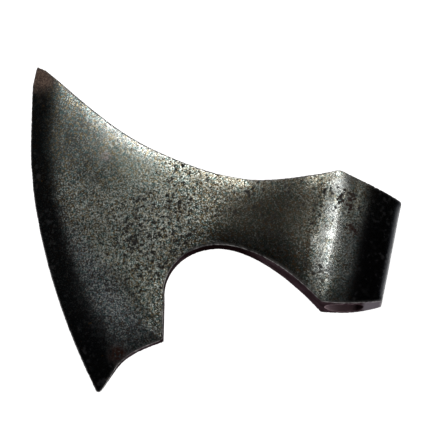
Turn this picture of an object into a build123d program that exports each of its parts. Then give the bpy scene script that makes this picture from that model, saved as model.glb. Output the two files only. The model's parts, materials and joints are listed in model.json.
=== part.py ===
from build123d import *
import math
import os

# Bearded broad-axe head, forged, without its haft, lying on its side.
# Millimetres.  +Z is up and the table is Z = 0.  The haft axis runs along Y.
# The poll faces +X, the cutting edge faces -X, and the upper horn points to +Y.
#
# The outline is drawn in the head's own mid-plane, whose origin is the centre
# of the eye: u runs towards the poll, v runs along the eye, w is the thickness.

os.makedirs("parts", exist_ok=True)

# ---- place and lean of the head ----
lean = 4.06                      # degrees, poll side raised on its fat cheek
eye_x = 97.21                    # eye centre on the table
eye_y = 20.42
eye_z = 18.09

# ---- cutting edge ----
edge_radius = 364.0              # sweep of the cutting edge
edge_cu = 141.5                  # centre of that sweep
edge_cv = 122.3
edge_half = 0.6                  # half thickness left at the worn edge
bevel_width = 12.5               # ground band along the edge
bevel_half = 3.1                 # half thickness where the band begins

# ---- blade wedge ----
wedge_slope = 0.044              # half thickness gained per mm towards the poll
chord_angle = 23.7               # edge chord against the eye axis, degrees
wedge_start = -190.0
wedge_end = -40.0
wedge_ref = -172.0               # where the wedge is bevel_half thick each side

# ---- eye and poll ----
eye_diameter = 22.0
eye_half = 17.0                  # half thickness at the fattest line of the cheeks
eye_ridge = -14.0                # fattest line, ahead of the eye centre
poll_u = 22.4                    # flat of the poll behind the eye centre
poll_half = 7.5                  # half width of that flat
poll_top = 28.9
poll_bottom = -32.6
poll_square = 0.8                # the poll's lower end sits this far ahead of its top
socket_top = 39.7                # peak of the socket at its front
socket_bottom = -41.0
socket_front_top = -17.5
socket_front_bottom = -13.5

# ---- beard ----
spur_u = -101.1
spur_v = -79.3
tip_v = -118.2                   # lower end of the cutting edge
horn_u = -217.1
horn_v = 76.0                    # upper end of the cutting edge

# ---- steel bit welded into the front ----
bit_width = 19.0                 # bit seen on the cheeks
tongue_depth = 34.0              # how far its tongue reaches in from the edge
tongue_root = 1.5                # half thickness of the tongue at the shoulder
tongue_tip = 0.6                 # half thickness at its blunt end

lean_r = math.radians(lean)
u_dir = Vector(math.cos(lean_r), 0, math.sin(lean_r))
w_dir = Vector(-math.sin(lean_r), 0, math.cos(lean_r))
v_dir = Vector(0, 1, 0)
eye_centre = Vector(eye_x, eye_y, eye_z)
edge_centre = eye_centre + u_dir * edge_cu + v_dir * edge_cv

mid_plane = Plane(origin=eye_centre, x_dir=u_dir, z_dir=w_dir)
plan_plane = Plane(origin=eye_centre, x_dir=u_dir, z_dir=v_dir * -1)

chord_r = math.radians(chord_angle)
across = u_dir * math.cos(chord_r) + v_dir * math.sin(chord_r)
along = u_dir * math.sin(chord_r) - v_dir * math.cos(chord_r)
wedge_plane = Plane(origin=eye_centre, x_dir=across, z_dir=along)
bevel_plane = Plane(origin=edge_centre, x_dir=u_dir * -1, z_dir=v_dir)


def edge_u(v):
    """u of the cutting edge at height v."""
    return edge_cu - math.sqrt(edge_radius**2 - (v - edge_cv) ** 2)


# ---- thickness: flat blade wedge joined to the flared socket ----
wedge_near = bevel_half + wedge_slope * (wedge_start - wedge_ref)
wedge_far = bevel_half + wedge_slope * (wedge_end - wedge_ref)
with BuildPart() as taper:
    with BuildSketch(wedge_plane):
        with BuildLine():
            Polyline(
                (wedge_start, wedge_near),
                (wedge_end, wedge_far),
                (wedge_end, -wedge_far),
                (wedge_start, -wedge_near),
                close=True,
            )
        make_face()
    extrude(amount=220, both=True)
    with BuildSketch(plan_plane):
        with BuildLine():
            cheek = Spline(
                (-105, 4.3),
                (-62, 9.6),
                (-33, 15.2),
                (eye_ridge, eye_half),
                (6, 15.4),
                (16, 12.4),
                (poll_u + 0.01, poll_half),
                tangents=((1, 0.11), (0.35, -1)),
            )
            mirror(cheek, about=Plane.XZ)
            Line((-105, 4.3), (-105, -4.3))
            Line((poll_u + 0.01, poll_half), (poll_u + 0.01, -poll_half))
        make_face()
    extrude(amount=90, both=True)

# ---- ground band: a cone each side, running round the edge's own centre ----
bevel_slope = (bevel_half - edge_half) / bevel_width
clear_half = 24.0
clear_run = (clear_half - edge_half) / bevel_slope
with BuildPart() as bevel:
    with BuildSketch(bevel_plane):
        with BuildLine():
            Polyline(
                (0, -clear_half),
                (edge_radius - clear_run, -clear_half),
                (edge_radius, -edge_half),
                (edge_radius + 3, -edge_half),
                (edge_radius + 3, edge_half),
                (edge_radius, edge_half),
                (edge_radius - clear_run, clear_half),
                (0, clear_half),
                close=True,
            )
        make_face()
    revolve(axis=Axis(edge_centre, w_dir))

# ---- bit: band at the edge with a tongue behind it ----
shoulder = edge_radius - bit_width
with BuildPart() as cleft:
    with BuildSketch(bevel_plane):
        with BuildLine():
            Polyline(
                (edge_radius - tongue_depth, -tongue_tip),
                (shoulder, -tongue_root),
                (shoulder, -20),
                (edge_radius + 10, -20),
                (edge_radius + 10, 20),
                (shoulder, 20),
                (shoulder, tongue_root),
                (edge_radius - tongue_depth, tongue_tip),
                close=True,
            )
        make_face()
    revolve(axis=Axis(edge_centre, w_dir))

# ---- whole head ----
with BuildPart() as head:
    with BuildSketch(mid_plane) as outline:
        with BuildLine():
            Spline(
                (edge_u(tip_v) - 0.5, tip_v),
                (edge_u(-88) + 0.4, -88),
                (edge_u(-30), -30),
                (edge_u(20), 20),
                (edge_u(52) + 0.7, 52),
                (-217.7, 68),
                (horn_u, horn_v),
            )
            Line((horn_u, horn_v), (-211, 74.4))
            Spline(
                (-211, 74.4),
                (-180, 56.4),
                (-150, 41.3),
                (-117, 31.1),
                (-77, 26.2),
                (-44, 31),
                (socket_front_top, socket_top),
            )
            Line((socket_front_top, socket_top), (poll_u, poll_top))
            Line((poll_u, poll_top), (poll_u - poll_square, poll_bottom))
            ThreePointArc(
                (poll_u - poll_square, poll_bottom),
                (5, -38.1),
                (socket_front_bottom, socket_bottom),
            )
            Spline(
                (socket_front_bottom, socket_bottom),
                (-34, -27.7),
                (-55, -18.9),
                (-74, -16.0),
                (-91.5, -20.6),
                (-102.9, -31),
                (-107.2, -43),
                (-106.2, -54),
            )
            Line((-106.2, -54), (spur_u, spur_v))
            Spline(
                (spur_u, spur_v),
                (-113, -86.9),
                (-122.9, -97.1),
                (-127.6, -108),
                (edge_u(tip_v) - 0.5, tip_v),
            )
        make_face()
        low_tip = outline.vertices().sort_by(Axis.Y)[0]
        poll_corners = outline.vertices().sort_by(Axis.X)[-2:].sort_by(Axis.Y)
        fillet(low_tip, radius=1.6)
        fillet(poll_corners[0], radius=2.2)
        fillet(poll_corners[1], radius=0.8)
    extrude(amount=22, both=True)
    add(taper.part, mode=Mode.INTERSECT)
    add(bevel.part, mode=Mode.INTERSECT)
    with BuildSketch(plan_plane):
        Circle(eye_diameter / 2)
    extrude(amount=90, both=True, mode=Mode.SUBTRACT)

with BuildPart() as axe_body:
    add(head.part)
    add(cleft.part, mode=Mode.SUBTRACT)
axe_body.part.label = "axe_body"
export_step(axe_body.part, "parts/axe_body.step")

with BuildPart() as steel_bit:
    add(head.part)
    add(cleft.part, mode=Mode.INTERSECT)
steel_bit.part.label = "steel_bit"
export_step(steel_bit.part, "parts/steel_bit.step")
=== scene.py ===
import json
import math

import bmesh
import bpy
import numpy as np
from mathutils import Matrix, Vector, noise
from mathutils.bvhtree import BVHTree
from mathutils.kdtree import KDTree


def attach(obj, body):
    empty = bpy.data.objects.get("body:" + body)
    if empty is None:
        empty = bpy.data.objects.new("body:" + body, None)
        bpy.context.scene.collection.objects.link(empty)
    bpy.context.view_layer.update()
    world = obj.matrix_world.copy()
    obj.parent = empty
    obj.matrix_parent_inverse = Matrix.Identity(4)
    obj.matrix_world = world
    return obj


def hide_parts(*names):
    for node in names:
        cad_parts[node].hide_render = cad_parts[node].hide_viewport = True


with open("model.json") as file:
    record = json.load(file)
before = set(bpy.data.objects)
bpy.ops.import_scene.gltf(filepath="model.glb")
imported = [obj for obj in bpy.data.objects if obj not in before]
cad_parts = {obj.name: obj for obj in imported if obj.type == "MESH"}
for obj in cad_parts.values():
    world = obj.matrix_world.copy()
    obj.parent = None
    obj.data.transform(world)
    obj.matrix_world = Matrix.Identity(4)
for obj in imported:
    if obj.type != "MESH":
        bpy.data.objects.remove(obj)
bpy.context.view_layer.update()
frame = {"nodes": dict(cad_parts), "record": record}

# ---------------------------------------------------------------- the head's own frame
# u runs to the poll, v along the eye, w through the thickness; all from the eye's middle, in metres.
EYE = Vector(frame["record"]["mounts"][0]["pos_m"])
LEAN = math.radians(4.06)                 # the head rests on its fat cheek, poll side up
U = Vector((math.cos(LEAN), 0.0, math.sin(LEAN)))
V = Vector((0.0, 1.0, 0.0))
W = Vector((-math.sin(LEAN), 0.0, math.cos(LEAN)))
AXES = np.array([U, V, W], float)         # rows: u, v, w

EDGE_RADIUS = 0.364                       # sweep of the cutting edge
EDGE_CENTRE = (0.1415, 0.1223)            # its centre, in u and v
EYE_RADIUS = 0.011
BIT_WIDTH = 0.019                         # the steel's band along the edge
TONGUE_DEPTH = 0.034                      # how far its tongue goes into the iron
TONGUE_ROOT = 0.0015                      # half thicknesses of the tongue
TONGUE_TIP = 0.0006


def to_head(points):
    """World points to u, v, w."""
    return (points - np.array(EYE, float)) @ AXES.T


def to_world(points):
    """u, v, w points to world ones."""
    return points @ AXES + np.array(EYE, float)


# ---------------------------------------------------------------- mesh helpers
def read_points(mesh):
    co = np.empty(len(mesh.vertices) * 3, np.float64)
    mesh.vertices.foreach_get("co", co)
    return co.reshape(-1, 3)


def read_edges(mesh):
    ends = np.empty(len(mesh.edges) * 2, np.int64)
    mesh.edges.foreach_get("vertices", ends)
    return ends.reshape(-1, 2)


def read_normals(mesh):
    normals = np.empty(len(mesh.vertices) * 3, np.float64)
    mesh.vertex_normals.foreach_get("vector", normals)
    return normals.reshape(-1, 3)


def write_points(mesh, points):
    mesh.vertices.foreach_set("co", points.astype(np.float32).ravel())
    mesh.update()


def neighbour_mean(values, edges, count):
    """Mean of each point's neighbours, for one column or several."""
    total = np.zeros_like(values)
    for k in range(values.shape[1]):
        total[:, k] = np.bincount(edges[:, 0], values[edges[:, 1], k], len(values))
        total[:, k] += np.bincount(edges[:, 1], values[edges[:, 0], k], len(values))
    return total / count[:, None]


def smoothed(values, edges, weight, rounds):
    """Values drawn towards their neighbours' mean, by each point's own weight."""
    count = np.bincount(edges.ravel(), minlength=len(values)).astype(float)
    count[count == 0] = 1
    for _ in range(rounds):
        values = values + weight[:, None] * (neighbour_mean(values, edges, count) - values)
    return values


def tree_of(points):
    tree = KDTree(len(points))
    for i, p in enumerate(points):
        tree.insert(p, i)
    tree.balance()
    return tree


def nearest(tree, points):
    """For each point, which of the tree's points is nearest and how far off it is."""
    found = [tree.find(p) for p in points]
    index = np.array([f[1] for f in found])
    distance = np.array([f[2] for f in found])
    return index, distance


def ramp(x, low, high):
    """0 up to low, 1 from high, smooth between."""
    t = np.clip((x - low) / (high - low), 0.0, 1.0)
    return t * t * (3.0 - 2.0 * t)


def hump(x, middle, width):
    """1 at the middle, falling off to both sides."""
    return np.exp(-(((x - middle) / width) ** 2))


def noise_at(points, size, seed):
    """Smooth noise of one size in metres, about -1 to 1."""
    shift = Vector((seed * 7.31, seed * 3.17, seed * 5.93))
    return np.array([noise.noise(Vector(p) / size + shift) for p in points])


def shown(mesh, name):
    obj = bpy.data.objects.new(name, mesh)
    bpy.context.scene.collection.objects.link(obj)
    return obj


def applied(obj):
    """The object's mesh with its modifiers applied."""
    depsgraph = bpy.context.evaluated_depsgraph_get()
    return bpy.data.meshes.new_from_object(obj.evaluated_get(depsgraph))


def combined(obj, other, operation):
    """The mesh that a boolean of the two objects leaves."""
    mod = obj.modifiers.new("combined", "BOOLEAN")
    mod.operation = operation
    mod.object = other
    mod.solver = "MANIFOLD"
    return applied(obj)


# ---------------------------------------------------------------- one skin over both CAD nodes
CREASE_ANGLE = math.radians(30)           # a sharper edge of the CAD skin is a crease to keep
CREASE_STEP = 0.00012                     # marks along the creases
WELD_GAP = 1e-7
SNAP_NEAR = 0.35                          # in voxels: points this near a crease go onto it
SNAP_PULL = 0.8                           # each mark pulls in its nearest point from this far
SNAP_APART = 0.3                          # and snapped points stay this far apart
VOXEL = 0.00075


def closed_copy(node):
    """A copy of a CAD node's mesh with its seams welded."""
    mesh = frame["nodes"][node].data
    copy = bpy.data.meshes.new(node + "_copy")
    copy.from_pydata([tuple(v.co) for v in mesh.vertices], [], [tuple(p.vertices) for p in mesh.polygons])
    bm = bmesh.new()
    bm.from_mesh(copy)
    bmesh.ops.remove_doubles(bm, verts=bm.verts, dist=WELD_GAP)
    bm.to_mesh(copy)
    bm.free()
    return shown(copy, node + "_copy")


def crease_marks(bm):
    """Closely spaced points along the mesh's sharp edges."""
    marks = []
    for edge in bm.edges:
        if edge.calc_face_angle(0.0) > CREASE_ANGLE:
            a, b = (v.co for v in edge.verts)
            steps = max(1, round((b - a).length / CREASE_STEP))
            marks += [tuple(a.lerp(b, k / steps)) for k in range(steps + 1)]
    return np.array(marks)


def snapped(points, marks, voxel):
    """The points, with those beside a crease moved onto it."""
    creases = tree_of(marks)
    found, gap = nearest(creases, points)
    owner, reach = nearest(tree_of(points), marks)
    close = gap < SNAP_NEAR * voxel
    close[owner[reach < SNAP_PULL * voxel]] = True
    taken = set()
    for i in sorted(np.flatnonzero(close), key=lambda i: gap[i]):
        if found[i] not in taken:
            points[i] = marks[found[i]]
            taken.update(near for _, near, _ in creases.find_range(points[i], SNAP_APART * voxel))
    return points


def whole_head(voxel):
    """An even mesh over the welded head, lying on the CAD skin and its creases."""
    first, second = closed_copy("axe_body"), closed_copy("steel_bit")
    welded = combined(first, second, "UNION")
    for obj in (first, second):
        bpy.data.objects.remove(obj)
    bm = bmesh.new()
    bm.from_mesh(welded)
    skin = BVHTree.FromBMesh(bm)
    marks = crease_marks(bm)
    bm.free()
    obj = shown(welded, "welded")
    mod = obj.modifiers.new("voxel", "REMESH")
    mod.mode = "VOXEL"
    mod.voxel_size = voxel
    mod.use_smooth_shade = True
    mesh = applied(obj)
    bpy.data.objects.remove(obj)
    laid = np.array([tuple(skin.find_nearest(Vector(p))[0]) for p in read_points(mesh)])
    write_points(mesh, snapped(laid, marks, voxel))
    return mesh


head = whole_head(VOXEL)
points = to_head(read_points(head))
edges = read_edges(head)
normals = read_normals(head) @ AXES.T
count = len(points)

# ---------------------------------------------------------------- cheeks, walls and eye
EYE_LIP = 0.0006                          # the eye's own points lie within this of its radius
CHEEK_FACING = 0.72                       # how squarely a cheek faces along w
POLL_FROM = 0.004                         # beyond this u, all but the end faces is cheek
POLL_FACING = 0.5
BLADE_LIP = 0.0025                        # the worn edge's own narrow face

facing = np.abs(normals[:, 2])
from_edge = EDGE_RADIUS - np.hypot(points[:, 0] - EDGE_CENTRE[0], points[:, 1] - EDGE_CENTRE[1])
in_eye = np.hypot(points[:, 0], points[:, 2]) < EYE_RADIUS + EYE_LIP
poll = (points[:, 0] > POLL_FROM) & ~in_eye & (np.abs(normals[:, 1]) < POLL_FACING)
on_cheek = ((facing > CHEEK_FACING) & ~in_eye) | poll
on_cheek = smoothed(on_cheek.astype(float)[:, None], edges, np.full(count, 0.6), 2)[:, 0] > 0.5
on_wall = ~on_cheek & ~in_eye

# Distance from each point to the nearest rim, measured in the mid-plane.
flat = np.column_stack([points[:, 0], points[:, 1], np.zeros(count)])
_, rim_distance = nearest(tree_of(flat[on_wall & (from_edge >= BLADE_LIP)]), flat)
rim_distance[on_wall] = 0.0

# Half thickness of the head under each point.
below, _ = nearest(tree_of(flat[on_cheek]), flat)
half = np.abs(points[on_cheek][below, 2])

# Distance from each point to the nearest point across a rim.
_, rim_gap = nearest(tree_of(points[on_wall]), points)
_, cheek_gap = nearest(tree_of(points[on_cheek]), points)
away = np.where(on_wall, cheek_gap, rim_gap)

# ---------------------------------------------------------------- forging
FACET_ROUNDS = 70
RIM_KEEP = (0.0008, 0.0030)               # smoothing is absent at the rims, full beyond
LIP_KEEP = (0.001, 0.003)
LIP_ROUNDS = 6
CROWN_DROP, CROWN_WIDTH = 0.0008, 0.016   # cheeks fall away towards their rims
TOP_DROP, TOP_WIDTH = 0.0015, 0.026       # and more along the concave top of the blade and neck
DROP_SHARE, TOP_SHARE = 0.20, 0.10        # at most this much of the half thickness
FLANKS = (-0.0245, -0.0050)               # u beside the ridge over the eye
FLANK_DROP, FLANK_WIDTH = 0.00055, 0.0075

# Facets left by the CAD mesh are smoothed away everywhere but at the rims.
points = smoothed(points, edges, 0.9 * ramp(away, *RIM_KEEP) * np.where(in_eye, 0.0, 1.0), FACET_ROUNDS)
points = smoothed(points, edges, np.full(count, 0.4), 1)
points = smoothed(points, edges, 0.6 * (1.0 - ramp(from_edge, *LIP_KEEP)), LIP_ROUNDS)

metal = np.where(in_eye, 0.0, 1.0)
top = ramp(points[:, 1], 0.0, 0.012) * ramp(-points[:, 0], 0.030, 0.075) * ramp(points[:, 0], -0.208, -0.160)
width = CROWN_WIDTH + (TOP_WIDTH - CROWN_WIDTH) * top
drop = (CROWN_DROP + (TOP_DROP - CROWN_DROP) * top) * np.clip(1.0 - rim_distance / width, 0.0, 1.0) ** 2
drop = np.minimum(drop, (DROP_SHARE + TOP_SHARE * top) * half) * metal
for flank in FLANKS:
    drop += FLANK_DROP * hump(points[:, 0], flank, FLANK_WIDTH) * metal
points[:, 2] *= 1.0 - drop / np.maximum(half, 0.001)
write_points(head, to_world(points))

# ---------------------------------------------------------------- hammering, pits and wear
LUMP, LUMP_SIZE = 0.00016, 0.021
DENT, DENT_SIZE = 0.00007, 0.008
PIT_DEPTH, GRAIN_SIZE, PIT_FIELD_SIZE = 0.00007, 0.0021, 0.017
PIT_FIELD = (-0.35, 0.35)
CHIP, CHIP_SIZE, CHIP_REACH = 0.00012, 0.0042, 0.0014
TOP_RIM_WIDTH = 0.009
# The light line along the rims: wear, painted as their highlight too.
WEAR_AND_HIGHLIGHT_WIDTH = 0.0009

normals = read_normals(head) @ AXES.T
lumps = LUMP * noise_at(points, LUMP_SIZE, 1) + DENT * noise_at(points, DENT_SIZE, 2)
grain = noise_at(points, GRAIN_SIZE, 3)
pitting = ramp(noise_at(points, PIT_FIELD_SIZE, 4), *PIT_FIELD)
pits = PIT_DEPTH * ramp(grain, 0.22, 0.55) * pitting
chips = CHIP * ramp(noise_at(points, CHIP_SIZE, 5), 0.05, 0.6) * (1.0 - ramp(away, 0.0, CHIP_REACH))
keep_thin = ramp(half, 0.0005, 0.0025)
shift = (lumps - pits) * keep_thin * np.where(in_eye, 0.4, 1.0) - chips * keep_thin
points = points + normals * shift[:, None]
write_points(head, to_world(points))

# What the materials need to know about each point.
walls = smoothed(np.where(on_wall | in_eye, 1.0, 0.0)[:, None], edges, np.full(count, 0.5), 2)[:, 0]
KNOWN = {
    "wall": walls,
    "rim": hump(away, 0.0, WEAR_AND_HIGHLIGHT_WIDTH) * np.where(in_eye, 0.2, 1.0),
    "pit": ramp(grain, 0.26, 0.50) * pitting * np.where(on_wall | in_eye, 0.0, 1.0),
    "top": hump(rim_distance, 0.0, TOP_RIM_WIDTH) * ramp(points[:, 1], -0.002, 0.012),
}
skin_tree = tree_of(points)

# ---------------------------------------------------------------- parting the bit from the body
CUTTER_HEIGHT = 0.02                      # taller than the blade is thick
CUTTER_OVER = 0.012                       # and reaching past its edge
CUTTER_START, CUTTER_STOP = math.radians(160), math.radians(235)
CUTTER_STEPS = 160
INSIDE = 0.0009                           # further than this from the skin is the weld's own face
SLIVER = 2e-5


def ring_cutter():
    """The bit's band and tongue, turned about the edge's centre."""
    inner = EDGE_RADIUS - TONGUE_DEPTH
    shoulder = EDGE_RADIUS - BIT_WIDTH
    outer = EDGE_RADIUS + CUTTER_OVER
    profile = [
        (inner, -TONGUE_TIP), (shoulder, -TONGUE_ROOT), (shoulder, -CUTTER_HEIGHT), (outer, -CUTTER_HEIGHT),
        (outer, CUTTER_HEIGHT), (shoulder, CUTTER_HEIGHT), (shoulder, TONGUE_ROOT), (inner, TONGUE_TIP),
    ]
    bm = bmesh.new()
    rings = []
    for k in range(CUTTER_STEPS + 1):
        a = CUTTER_START + (CUTTER_STOP - CUTTER_START) * k / CUTTER_STEPS
        ring = []
        for r, w in profile:
            p = np.array([[EDGE_CENTRE[0] + r * math.cos(a), EDGE_CENTRE[1] + r * math.sin(a), w]])
            ring.append(bm.verts.new(to_world(p)[0]))
        rings.append(ring)
    sides = len(profile)
    for a, b in zip(rings, rings[1:]):
        for i in range(sides):
            bm.faces.new((a[i], a[(i + 1) % sides], b[(i + 1) % sides], b[i]))
    bm.faces.new(rings[0])
    bm.faces.new(list(reversed(rings[-1])))
    bmesh.ops.recalc_face_normals(bm, faces=bm.faces)
    mesh = bpy.data.meshes.new("cutter")
    bm.to_mesh(mesh)
    bm.free()
    return shown(mesh, "cutter")


def clean(mesh):
    """Closes up slivers, and drops the folded pairs of faces that they leave."""
    bm = bmesh.new()
    bm.from_mesh(mesh)
    bmesh.ops.dissolve_degenerate(bm, dist=SLIVER, edges=bm.edges)
    bmesh.ops.triangulate(bm, faces=bm.faces)
    corners = {}
    for face in bm.faces:
        corners.setdefault(frozenset(face.verts), []).append(face)
    folded = [face for pair in corners.values() if len(pair) > 1 for face in pair]
    bmesh.ops.delete(bm, geom=folded, context="FACES")
    bm.to_mesh(mesh)
    bm.free()


def parted(name, operation, cutter):
    """The head's share inside or outside the cutter, with what the materials need to know."""
    obj = shown(head.copy(), name)
    mesh = combined(obj, cutter, operation)
    clean(mesh)
    obj.modifiers.clear()
    obj.data = mesh
    mesh.name = name
    for p in mesh.polygons:
        p.use_smooth = True
    mesh.set_sharp_from_angle(angle=math.radians(60))
    found, gap = nearest(skin_tree, to_head(read_points(mesh)))
    for key, values in KNOWN.items():
        local = values[found]
        local[gap > INSIDE] = 1.0 if key == "wall" else 0.0
        mesh.attributes.new(key, "FLOAT", "POINT").data.foreach_set("value", local.astype(np.float32))
    return obj


cutter = ring_cutter()
bit = parted("bit_visual", "INTERSECT", cutter)
body = parted("body_visual", "DIFFERENCE", cutter)
bpy.data.objects.remove(cutter)


# ---------------------------------------------------------------- colours
GREY_LOW, GREY_HIGH = (0.26, 0.268, 0.228), (0.45, 0.455, 0.395)
GREEN_GREY = (0.32, 0.345, 0.29)
BLUE_GREY = (0.225, 0.25, 0.285)
# Painted shade towards the horn, where the top highlight fades.
HORN_SHADE = (0.13, 0.135, 0.14)
OLIVE = (0.185, 0.170, 0.130)
# Painted shade along the neck's lower side.
UNDER_NECK = (0.040, 0.036, 0.032)
# Painted highlights along the top rim: warm by the neck, pale along the blade.
WARM_HIGHLIGHT = (0.46, 0.42, 0.33)
TOP_HIGHLIGHT = (0.57, 0.585, 0.57)
TINT_WARM, TINT_COOL = (0.39, 0.32, 0.165), (0.18, 0.30, 0.29)
# Painted shade where the neck flares to the eye, deeper on the neck's lower side.
FLARE_SHADE, FLARE_LOW = (0.062, 0.058, 0.046), (0.022, 0.020, 0.018)
# Painted shade on the cheek past the ridge, where it turns towards the poll.
BEYOND_SHADE = (0.085, 0.092, 0.098)
# The ridge over the eye: rubbed, and painted brighter as its highlight.
RUBBED_RIDGE_HIGHLIGHT = (0.78, 0.80, 0.79)
RUBBED = (0.87, 0.90, 0.82)
GRIME_GREEN, GRIME_BROWN = (0.035, 0.052, 0.040), (0.080, 0.042, 0.020)
PIT = (0.014, 0.009, 0.006)
# Near-black, used for painted shade on the bevel, towards the poll and low on the blade, and for the scratch
# and darker patches.
BAND = (0.014, 0.013, 0.015)
# Painted shade at the poll's rounded end, tinted blue.
POLL_EDGE = (0.026, 0.028, 0.032)
PALE = (0.62, 0.54, 0.52)
RUST_DARK, RUST, RUST_DEEP = (0.11, 0.065, 0.048), (0.36, 0.23, 0.165), (0.046, 0.013, 0.006)
OCHRE = (0.22, 0.12, 0.04)
WALL_DARK, WALL, WALL_END = (0.022, 0.012, 0.014), (0.048, 0.028, 0.034), (0.155, 0.135, 0.152)
# Painted shadow on the wall of the lower arc, around its top.
ARC_TOP = (0.004, 0.001, 0.001)
BORE = (0.36, 0.26, 0.28)
# Wear along the rims, painted lighter as their highlight.
WEAR_AND_RIM_HIGHLIGHT = (0.50, 0.48, 0.46)
ROUGH = 0.23
GRAIN_STRENGTH, GRAIN_HEIGHT = 0.4, 0.00016

# ---------------------------------------------------------------- where the shades lie, in mm
MM = 1000.0
# Each pair runs from where a shade is absent to where it is full, along u unless said otherwise.
# A start and a stop together bound a stretch.
SLANT = (0.64, 0.77)                      # u and v shares of the way across the lower blade
BLUE = (-119.0, -133.0)                   # along the slant
NECK_START, NECK_STOP = (-120.0, -88.0), (-19.0, -28.0)
# Where the painted shade along the neck's lower side starts.
NECK_UNDER = (2.0, -16.0)                 # v
HORN_START = (-147.0, -183.0)
# Where the painted highlights along the top rim lie.
WARM_RIM = (-125.0, -85.0)
LIGHT_START, LIGHT_STOP = (-188.0, -160.0), (-112.0, -138.0)
SMOOTH_START, SMOOTH_UPPER = (-112.0, -150.0), (-2.0, 26.0)       # u, v
RIDGE_START, RIDGE_STOP, RIDGE_LOWER = (-25.0, -17.0), (-6.0, -13.0), (-34.0, -22.0)    # u, u, v
# Where the painted shade on the flare lies; it is partly kept off the top rim.
FLARE_START, FLARE_STOP = (-98.0, -75.0), (-20.0, -27.0)
SPARED_RIM = (-45.0, -75.0)
# Where the painted shade past the ridge lies, stronger lower down.
BEYOND, BEYOND_LOWER = (-11.0, -4.0), (26.0, 2.0)                 # u, v
# Where the painted shade along the bevel lies.
BAND_REACH, BAND_WIDEN = (17.0, 7.0), (30.0, -90.0)               # from the edge, v
# Where the painted shade towards the poll lies.
POLL_SIDE, POLL_FACE = (-6.0, 6.0), (17.0, 21.5)
# Painted shade low on the blade.
LOW_BLADE = (-62.0, -98.0)                                        # v
SCRATCH, SCRATCH_EDGE = 123.0, (1.7, 0.5)                         # against the slant, from its middle
SCRATCH_START, SCRATCH_STOP = (-139.0, -132.0), (-100.0, -109.0)
# Where the painted shadow on the arc's wall lies.
ARC_START, ARC_STOP = (-104.0, -92.0), (-48.0, -66.0)
# BORE_DARK: where painted shade darkens the bore towards its rear.
END_FACE, BORE_DARK = (9.5, 12.5), (3.0, 8.0)
LOWER_RIMS = (8.0, -12.0)                                         # v
BORE_FACE, BORE_RIM = (0.6, 0.1), (1.0, 3.0)                      # beyond the eye's radius
# Ragged patches: middle in u and v, size, softness.
# Lower end of the ridge's painted highlight.
LOWER_RUB_HIGHLIGHT = ((-15.5, -4.0), 8.0, 5.0)
# Painted shade on the ridge just below its highlight.
BELOW_RIDGE_SHADE = ((-16.0, -22.0), 6.5, 5.0)
PIT_CROWD = ((-118.0, -22.0), 34.0, 24.0)
RIDGE_PITS = ((-9.0, 22.0), 6.0, 6.0), ((-4.0, 6.0), 4.5, 4.5)
PALE_MARK = ((-159.6, 25.1), 2.6, 2.0)
# Two broad darker patches on the blade.
DARKER_PATCH_UPPER = ((-159.0, 15.0), 13.0, 9.0)
DARKER_PATCH_LOWER = ((-145.0, -10.0), 20.0, 17.0)
HORN_RUST = ((-213.0, 70.0), 9.5, 6.5)
LOW_RUST = ((-125.3, -92.6), 5.0, 3.5)
RED_DOT = ((-135.8, -50.2), 0.9, 0.5)
RIDGE_RUST = ((-6.9, 18.3), 2.6, 2.2), ((-2.6, 4.8), 2.6, 2.2)


# ---------------------------------------------------------------- materials
class Nodes:
    """A short way of writing the node tree of a material or a world."""

    def __init__(self, owner):
        owner.use_nodes = True
        self.tree = owner.node_tree
        self.tree.nodes.clear()

    def add(self, kind, **settings):
        node = self.tree.nodes.new(kind)
        for key, value in settings.items():
            setattr(node, key, value)
        return node

    def join(self, value, socket):
        if isinstance(value, bpy.types.NodeSocket):
            self.tree.links.new(value, socket)
        else:
            socket.default_value = value

    def math(self, operation, a, b=0.0):
        node = self.add("ShaderNodeMath", operation=operation)
        self.join(a, node.inputs[0])
        self.join(b, node.inputs[1])
        return node.outputs[0]

    def plus(self, a, b):
        return self.math("ADD", a, b)

    def minus(self, a, b):
        return self.math("SUBTRACT", a, b)

    def times(self, a, b):
        return self.math("MULTIPLY", a, b)

    def most(self, a, b):
        return self.math("MAXIMUM", a, b)

    def but(self, value, other):
        """The value where the other is absent."""
        return self.times(value, self.minus(1.0, other))

    def vector(self, operation, a, b, out=0):
        node = self.add("ShaderNodeVectorMath", operation=operation)
        self.join(a, node.inputs[0])
        self.join(b, node.inputs[1])
        return node.outputs[out]

    def noise(self, place, size, detail, rough, seed):
        node = self.add("ShaderNodeTexNoise", noise_dimensions="4D")
        self.join(place, node.inputs["Vector"])
        settings = {"W": seed, "Scale": 1.0 / size, "Detail": detail, "Roughness": rough}
        for key, value in settings.items():
            node.inputs[key].default_value = value
        return node.outputs["Fac"]

    def step(self, value, low, high):
        """0 at low, 1 at high, smooth between; high may be below low."""
        node = self.add("ShaderNodeMapRange", interpolation_type="SMOOTHSTEP")
        self.join(value, node.inputs["Value"])
        ends = (low, high, 0.0, 1.0) if low < high else (high, low, 1.0, 0.0)
        for key, end in zip(("From Min", "From Max", "To Min", "To Max"), ends):
            node.inputs[key].default_value = end
        return node.outputs["Result"]

    def stretch(self, value, start, stop):
        """1 from the start to the stop, each a pair for step."""
        return self.times(self.step(value, *start), self.step(value, *stop))

    def mix(self, amount, a, b):
        node = self.add("ShaderNodeMix", data_type="RGBA")
        self.join(amount, node.inputs[0])
        for value, socket in ((a, node.inputs[6]), (b, node.inputs[7])):
            self.join((*value, 1.0) if isinstance(value, tuple) else value, socket)
        return node.outputs[2]


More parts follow.
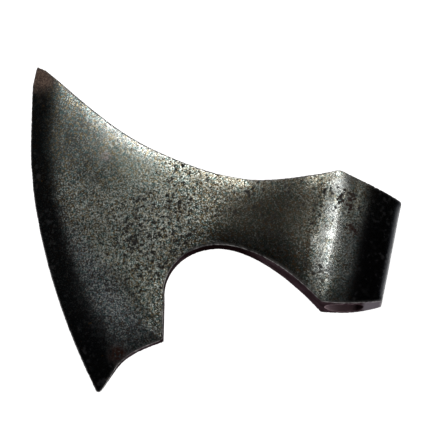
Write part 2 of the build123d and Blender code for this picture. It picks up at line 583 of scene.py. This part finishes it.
class Iron(Nodes):
    """Forged, pitted and rusted iron with wear, painted highlights and painted shade, its colour built up in
    the order of the methods.
    """

    def __init__(self, name):
        self.material = bpy.data.materials.new(name)
        super().__init__(self.material)
        self.survey()
        self.find_regions()
        colour = self.bare_steel()
        colour = self.grimed(colour)
        colour = self.pitted(colour)
        colour = self.stains_and_shade(colour)
        colour = self.rusted(colour)
        colour = self.walled(colour)
        self.surface(colour)

    def survey(self):
        """Where each point is on the head, and the noises that it meets."""
        place = self.add("ShaderNodeTexCoord").outputs["Object"]
        local = self.vector("SUBTRACT", place, tuple(EYE))
        axes = [self.times(self.vector("DOT_PRODUCT", local, tuple(axis), 1), MM) for axis in (U, V, W)]
        join = self.add("ShaderNodeCombineXYZ")
        for value, socket in zip(axes, join.inputs):
            self.join(value, socket)
        self.mm = join.outputs[0]
        self.along, self.across = axes[0], axes[1]
        self.flat = self.vector("MULTIPLY", self.mm, (1.0, 1.0, 0.0))
        self.slant = self.plus(self.times(self.along, SLANT[0]), self.times(self.across, SLANT[1]))
        centre = (EDGE_CENTRE[0] * MM, EDGE_CENTRE[1] * MM, 0.0)
        self.from_edge = self.minus(EDGE_RADIUS * MM, self.vector("DISTANCE", self.flat, centre, 1))
        from_axis = self.vector("MULTIPLY", self.mm, (1.0, 0.0, 1.0))
        self.beyond_bore = self.minus(self.vector("LENGTH", from_axis, (0.0, 0.0, 0.0), 1), EYE_RADIUS * MM)
        self.wall, self.rim, self.pit, self.top_rim = (
            self.add("ShaderNodeAttribute", attribute_name=key).outputs["Fac"] for key in KNOWN
        )
        self.clouds = self.noise(self.mm, 38.0, 2.0, 0.5, 1.0)
        self.mottle = self.noise(self.mm, 9.0, 3.0, 0.6, 2.0)
        self.tint = self.noise(self.mm, 1.2, 2.0, 0.6, 3.0)
        self.speck = self.noise(self.mm, 0.85, 2.0, 0.55, 4.0)
        self.fine = self.noise(self.mm, 0.6, 1.0, 0.5, 5.0)
        self.ragged = self.minus(self.noise(self.mm, 6.0, 4.0, 0.65, 6.0), 0.5)
        self.ragged_low = self.minus(self.noise(self.mm, 13.0, 3.0, 0.6, 7.0), 0.5)
        self.holes = self.noise(self.mm, 1.75, 3.0, 0.55, 8.0)
        self.crumbs = self.noise(self.mm, 1.0, 3.0, 0.6, 11.0)

    def wavy(self, value, amount):
        """The value with a slow waviness of so many mm, for shades without straight edges."""
        return self.plus(value, self.times(self.ragged_low, amount))

    def patch(self, ragged, centre, size, soft):
        """A ragged round patch, on both cheeks."""
        away_from = self.vector("DISTANCE", self.flat, (*centre, 0.0), 1)
        return self.step(self.plus(away_from, self.times(ragged, size)), size + soft, size - soft)

    def find_regions(self):
        """The regions that more than one step needs."""
        self.blue = self.step(self.wavy(self.slant, 10.0), *BLUE)
        self.neck = self.times(
            self.step(self.wavy(self.along, 26.0), *NECK_START),
            self.step(self.wavy(self.along, 8.0), *NECK_STOP),
        )
        # The neck's lower side, which gets painted shade.
        self.under = self.times(self.neck, self.step(self.wavy(self.across, 10.0), *NECK_UNDER))
        upper = self.step(self.wavy(self.across, 30.0), *SMOOTH_UPPER)
        self.smooth = self.times(upper, self.step(self.along, *SMOOTH_START))
        lower_rub_highlight = self.patch(self.ragged_low, *LOWER_RUB_HIGHLIGHT)
        # The ridge over the eye, rubbed smoother and painted with its highlight, fading towards its lower
        # end.
        ridge = self.stretch(self.along, RIDGE_START, RIDGE_STOP)
        fading = self.plus(self.times(self.step(self.across, *RIDGE_LOWER), 0.5), 0.25)
        self.rubbing_and_highlight = self.most(self.times(ridge, fading), lower_rub_highlight)
        # Painted shade on the flare, kept off the ridge's painted highlight and partly off the top rim.
        flare = self.step(self.wavy(self.along, 20.0), *FLARE_START)
        flare = self.times(flare, self.step(self.along, *FLARE_STOP))
        spared = self.plus(self.times(self.step(self.along, *SPARED_RIM), 0.35), 0.45)
        self.flare = self.but(self.but(flare, lower_rub_highlight), self.times(self.top_rim, spared))
        # Painted shade past the ridge, stronger lower down.
        lower = self.plus(self.times(self.step(self.across, *BEYOND_LOWER), 0.7), 0.3)
        self.beyond = self.times(self.step(self.along, *BEYOND), lower)

    def bare_steel(self):
        """Plain steel, greener, bluer, darker or lighter by turns, with painted highlights along the top rim
        and the ridge and painted shade on the neck, past the ridge and towards the horn.
        """
        steel = self.mix(self.step(self.mottle, 0.34, 0.66), GREY_LOW, GREY_HIGH)
        steel = self.mix(self.step(self.clouds, 0.40, 0.64), steel, GREEN_GREY)
        steel = self.mix(self.blue, steel, BLUE_GREY)
        steel = self.mix(self.times(self.neck, self.step(self.mottle, 0.2, 0.5)), steel, OLIVE)
        # Painted shade under the neck.
        steel = self.mix(self.times(self.under, 0.75), steel, UNDER_NECK)
        # Painted shade towards the horn.
        horn = self.step(self.wavy(self.along, 20.0), *HORN_START)
        steel = self.mix(self.times(horn, 0.85), steel, HORN_SHADE)
        # Painted highlight along the top rim, warm by the neck and pale along the blade.
        warm_highlight = self.times(self.top_rim, self.step(self.along, *WARM_RIM))
        steel = self.mix(self.times(warm_highlight, 0.8), steel, WARM_HIGHLIGHT)
        light = self.times(self.top_rim, self.stretch(self.along, LIGHT_START, LIGHT_STOP))
        steel = self.mix(self.times(light, 0.85), steel, TOP_HIGHLIGHT)
        warm_specks = self.but(self.times(self.step(self.tint, 0.52, 0.62), 0.8), self.times(self.blue, 0.6))
        steel = self.mix(warm_specks, steel, TINT_WARM)
        steel = self.mix(self.times(self.step(self.tint, 0.48, 0.38), 0.8), steel, TINT_COOL)
        # Painted shade over the flare.
        steel = self.mix(self.times(self.flare, 0.9), steel, self.mix(self.under, FLARE_SHADE, FLARE_LOW))
        # Painted shade past the ridge.
        steel = self.mix(self.times(self.beyond, 0.8), steel, BEYOND_SHADE)
        # Painted highlight on the rubbed ridge.
        steel = self.mix(self.times(self.rubbing_and_highlight, self.step(self.mottle, 0.3, 0.6)), steel, RUBBED_RIDGE_HIGHLIGHT)
        # Painted shade on the ridge below its highlight.
        below_ridge_shade = self.patch(self.ragged_low, *BELOW_RIDGE_SHADE)
        return self.mix(self.times(below_ridge_shade, 0.65), steel, BEYOND_SHADE)

    def grimed(self, colour):
        """Rubbed specks, and grime in the grain between them."""
        bright = self.times(self.step(self.speck, 0.52, 0.64), 0.8)
        shaded = self.times(self.most(self.flare, self.beyond), 0.85)
        colour = self.mix(self.but(bright, self.most(shaded, self.times(self.smooth, 0.45))), colour, RUBBED)
        grime = self.times(self.step(self.speck, 0.50, 0.40), 0.9)
        self.grime = self.but(grime, self.most(self.times(self.rubbing_and_highlight, 0.6), self.times(self.smooth, 0.5)))
        shade = self.mix(self.step(self.tint, 0.42, 0.6), GRIME_GREEN, GRIME_BROWN)
        return self.mix(self.grime, colour, shade)

    def pitted(self, colour):
        """Dark pits, crowded in the middle of the blade and over the ridge."""
        ridge = self.most(*(self.patch(self.ragged_low, *place) for place in RIDGE_PITS))
        crowd = self.times(self.noise(self.mm, 26.0, 2.0, 0.5, 10.0), 0.5)
        crowd = self.plus(crowd, self.times(self.patch(self.ragged_low, *PIT_CROWD), 0.25))
        crowd = self.minus(self.plus(crowd, self.times(ridge, 0.32)), self.times(self.smooth, 0.5))
        above = self.minus(self.holes, self.minus(0.75, self.times(crowd, 0.44)))
        cut_pits = self.but(self.pit, self.times(self.smooth, 0.75))
        self.dark_pit = self.most(cut_pits, self.step(above, -0.02, 0.04))
        return self.mix(self.times(self.dark_pit, 0.95), colour, self.mix(ridge, PIT, RUST_DEEP))

    def stains_and_shade(self, colour):
        """Painted shade in a band along the edge's bevel, wider towards the lower tip, towards the poll and
        along the blade's bottom; a scratch, a pale mark and darker patches.
        """
        # Painted shade along the bevel of the edge.
        widen = self.times(self.step(self.across, *BAND_WIDEN), 9.0)
        self.band = self.step(self.wavy(self.minus(self.from_edge, widen), 9.0), *BAND_REACH)
        colour = self.mix(self.times(self.band, 0.80), colour, BAND)
        # Painted shade where the cheek turns towards the poll, and at its rounded end.
        poll_side = self.step(self.wavy(self.along, 7.0), *POLL_SIDE)
        colour = self.mix(self.times(poll_side, 0.90), colour, BAND)
        colour = self.mix(self.step(self.along, *POLL_FACE), colour, POLL_EDGE)
        # Painted shade towards the blade's bottom.
        low = self.step(self.wavy(self.across, 24.0), *LOW_BLADE)
        colour = self.mix(self.times(low, 0.55), colour, BAND)
        pale = self.patch(self.ragged, *PALE_MARK)
        colour = self.mix(self.times(pale, self.step(self.speck, 0.40, 0.55)), colour, PALE)
        colour = self.mix(self.times(self.patch(self.ragged_low, *DARKER_PATCH_UPPER), 0.35), colour, BAND)
        off_line = self.plus(self.slant, self.plus(self.times(self.ragged, 2.0), SCRATCH))
        scratch = self.step(self.math("ABSOLUTE", off_line), *SCRATCH_EDGE)
        scratch = self.times(scratch, self.stretch(self.along, SCRATCH_START, SCRATCH_STOP))
        colour = self.mix(self.times(scratch, 0.5), colour, BAND)
        return self.mix(self.times(self.patch(self.ragged_low, *DARKER_PATCH_LOWER), 0.24), colour, BAND)

    def rusted(self, colour):
        """Rust on the horn, on the ridge and near the lower tip."""
        both = self.plus(self.ragged_low, self.ragged)
        self.horn_rust = self.times(self.patch(both, *HORN_RUST), 0.85)
        spots = self.times(self.patch(both, *LOW_RUST), self.step(self.holes, 0.36, 0.50))
        spots = self.most(spots, self.patch(self.ragged, *RED_DOT))
        for place in RIDGE_RUST:
            spot = self.times(self.patch(self.ragged, *place), self.step(self.crumbs, 0.50, 0.57))
            spots = self.most(spots, spot)
        self.spots = spots
        rust = self.mix(self.step(self.speck, 0.35, 0.65), RUST_DARK, RUST)
        colour = self.mix(self.horn_rust, colour, rust)
        colour = self.mix(self.times(spots, 0.9), colour, RUST_DEEP)
        flecks = self.times(self.step(self.noise(self.mm, 1.6, 1.0, 0.5, 9.0), 0.70, 0.78), self.band)
        return self.mix(flecks, colour, OCHRE)

    def walled(self, colour):
        """The sawn walls, the bore, and the line of wear where walls and cheeks meet, painted lighter as its
        highlight.
        """
        walls = self.mix(self.step(self.mottle, 0.35, 0.65), WALL_DARK, WALL)
        # Painted shadow on the arc's wall.
        walls = self.mix(self.times(self.stretch(self.along, ARC_START, ARC_STOP), 0.9), walls, ARC_TOP)
        walls = self.mix(self.step(self.along, *END_FACE), walls, WALL_END)
        # The bore, with painted shade towards its rear.
        bore = self.mix(self.step(self.along, *BORE_DARK), BORE, WALL_DARK)
        walls = self.mix(self.step(self.beyond_bore, *BORE_FACE), walls, bore)
        colour = self.mix(self.wall, colour, walls)
        # Wear along the rims, painted lighter as their highlight, more so on the lower rims and not at the
        # bore.
        lower = self.plus(self.times(self.step(self.across, *LOWER_RIMS), 0.35), 0.45)
        wear_and_highlight = self.times(self.times(self.rim, self.step(self.mottle, 0.34, 0.54)), lower)
        self.wear_and_highlight = self.times(wear_and_highlight, self.step(self.beyond_bore, *BORE_RIM))
        return self.mix(self.wear_and_highlight, colour, WEAR_AND_RIM_HIGHLIGHT)

    def surface(self, colour):
        """The shader: metal, but for walls, rust and pits, with a fine grain."""
        dull = self.most(self.wall, self.most(self.times(self.horn_rust, 0.7), self.spots))
        dull = self.but(self.most(dull, self.times(self.dark_pit, 0.9)), self.wear_and_highlight)
        matt = self.but(self.most(self.wall, self.spots), self.wear_and_highlight)
        rough = self.plus(self.times(self.fine, 0.10), ROUGH)
        rough = self.plus(rough, self.times(self.grime, 0.16))
        rough = self.minus(rough, self.times(self.rubbing_and_highlight, 0.06))
        rough = self.plus(rough, self.times(dull, 0.35))
        grain = self.plus(self.times(self.speck, 0.7), self.times(self.fine, 0.3))
        bump = self.add("ShaderNodeBump")
        bump.inputs["Strength"].default_value = GRAIN_STRENGTH
        bump.inputs["Distance"].default_value = GRAIN_HEIGHT
        self.join(self.but(grain, self.times(self.smooth, 0.5)), bump.inputs["Height"])
        shader = self.add("ShaderNodeBsdfPrincipled")
        self.join(colour, shader.inputs["Base Color"])
        self.join(self.minus(1.0, dull), shader.inputs["Metallic"])
        self.join(self.minus(0.5, self.times(matt, 0.5)), shader.inputs["Specular IOR Level"])
        self.join(rough, shader.inputs["Roughness"])
        self.join(bump.outputs["Normal"], shader.inputs["Normal"])
        self.join(shader.outputs[0], self.add("ShaderNodeOutputMaterial").inputs["Surface"])


for piece, node, slot in ((body, "axe_body", "body_iron"), (bit, "steel_bit", "bit_steel")):
    piece.data.materials.clear()
    piece.data.materials.append(Iron(slot).material)
    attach(piece, "root")
    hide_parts(node)

# ---------------------------------------------------------------- floor, light and camera
FLOOR_DROP = 0.0002
FLOOR_GLOW = 1.05                         # keeps the pale floor free of shadow
SKY = (0.0070, 0.0078, 0.0090)
SKY_HORIZON = 45.0                        # how much brighter the sky is at the horizon
SKY_FADE = 0.38                           # height where that ends, as a sine


def floor():
    bpy.ops.mesh.primitive_plane_add(size=12.0, location=(0, 0, -FLOOR_DROP))
    obj = bpy.context.object
    obj.name = "floor"
    material = bpy.data.materials.new("floor_white")
    n = Nodes(material)
    diffuse = n.add("ShaderNodeBsdfDiffuse")
    diffuse.inputs["Color"].default_value = (0.8, 0.8, 0.8, 1)
    glow = n.add("ShaderNodeEmission")
    glow.inputs["Strength"].default_value = FLOOR_GLOW
    both = n.add("ShaderNodeAddShader")
    n.join(diffuse.outputs[0], both.inputs[0])
    n.join(glow.outputs[0], both.inputs[1])
    n.join(both.outputs[0], n.add("ShaderNodeOutputMaterial").inputs["Surface"])
    obj.data.materials.append(material)


def area(name, place, aim, size, power):
    """A rectangular light, its size given across and along."""
    light = bpy.data.lights.new(name, "AREA")
    light.energy = power
    light.shape = "RECTANGLE"
    light.size, light.size_y = size
    obj = bpy.data.objects.new(name, light)
    bpy.context.scene.collection.objects.link(obj)
    obj.location = place
    obj.rotation_euler = (Vector(aim) - Vector(place)).to_track_quat("-Z", "Y").to_euler()


def studio():
    """White behind the object, and a dim sky for it to reflect."""
    world = bpy.data.worlds.new("studio")
    bpy.context.scene.world = world
    n = Nodes(world)
    height = n.add("ShaderNodeSeparateXYZ")
    n.join(n.add("ShaderNodeTexCoord").outputs["Generated"], height.inputs[0])
    fade = n.add("ShaderNodeMapRange", interpolation_type="SMOOTHSTEP")
    settings = {"From Min": 0.0, "From Max": SKY_FADE, "To Min": SKY_HORIZON, "To Max": 1.0}
    for key, value in settings.items():
        fade.inputs[key].default_value = value
    n.join(height.outputs["Z"], fade.inputs["Value"])
    dim = n.add("ShaderNodeBackground")
    dim.inputs["Color"].default_value = (*SKY, 1)
    n.join(fade.outputs["Result"], dim.inputs["Strength"])
    pale = n.add("ShaderNodeBackground")
    pale.inputs["Color"].default_value = (1, 1, 1, 1)
    pick = n.add("ShaderNodeMixShader")
    n.join(n.add("ShaderNodeLightPath").outputs["Is Camera Ray"], pick.inputs[0])
    n.join(dim.outputs[0], pick.inputs[1])
    n.join(pale.outputs[0], pick.inputs[2])
    n.join(pick.outputs[0], n.add("ShaderNodeOutputWorld").inputs["Surface"])


floor()
for name, x, y, size, power in (
    ("key", -0.26, 0.75, (0.20, 0.18), 3.2),
    ("over_ridge", -0.07, 0.27, (0.15, 0.18), 0.36),
    ("over_blade", -0.34, 0.28, (0.24, 0.16), 0.12),
):
    area(name, (x, y, 1.0), (x, y, 0.0), size, power)
area("low_front", (0.85, -0.85, 0.45), (0, 0, 0), (0.5, 0.5), 1.2)
area("low_back", (-0.85, 0.85, 0.45), (0, 0, 0), (0.5, 0.5), 0.8)
studio()

AZIMUTH, ELEVATION, ROLL = map(math.radians, (11.61, 75.50, 0.25))
TARGET = Vector((0.01095, 0.02155, 0.017))
DISTANCE = 0.811
LENS = 112.6

flat_way = math.cos(ELEVATION)
back = Vector((math.sin(AZIMUTH) * flat_way, -math.cos(AZIMUTH) * flat_way, math.sin(ELEVATION)))
right = Vector((math.cos(AZIMUTH), math.sin(AZIMUTH), 0.0))
up = back.cross(right)
right, up = (
    math.cos(ROLL) * right + math.sin(ROLL) * up,
    math.cos(ROLL) * up - math.sin(ROLL) * right,
)
camera_data = bpy.data.cameras.new("camera")
camera_data.sensor_width = 36.0
camera_data.lens = LENS
camera_data.clip_start = 0.01
camera = bpy.data.objects.new("camera", camera_data)
bpy.context.scene.collection.objects.link(camera)
turn = Matrix((right, up, back)).transposed().to_4x4()
turn.translation = TARGET + back * DISTANCE
camera.matrix_world = turn
bpy.context.scene.camera = camera
bpy.context.scene.view_settings.view_transform = "Standard"
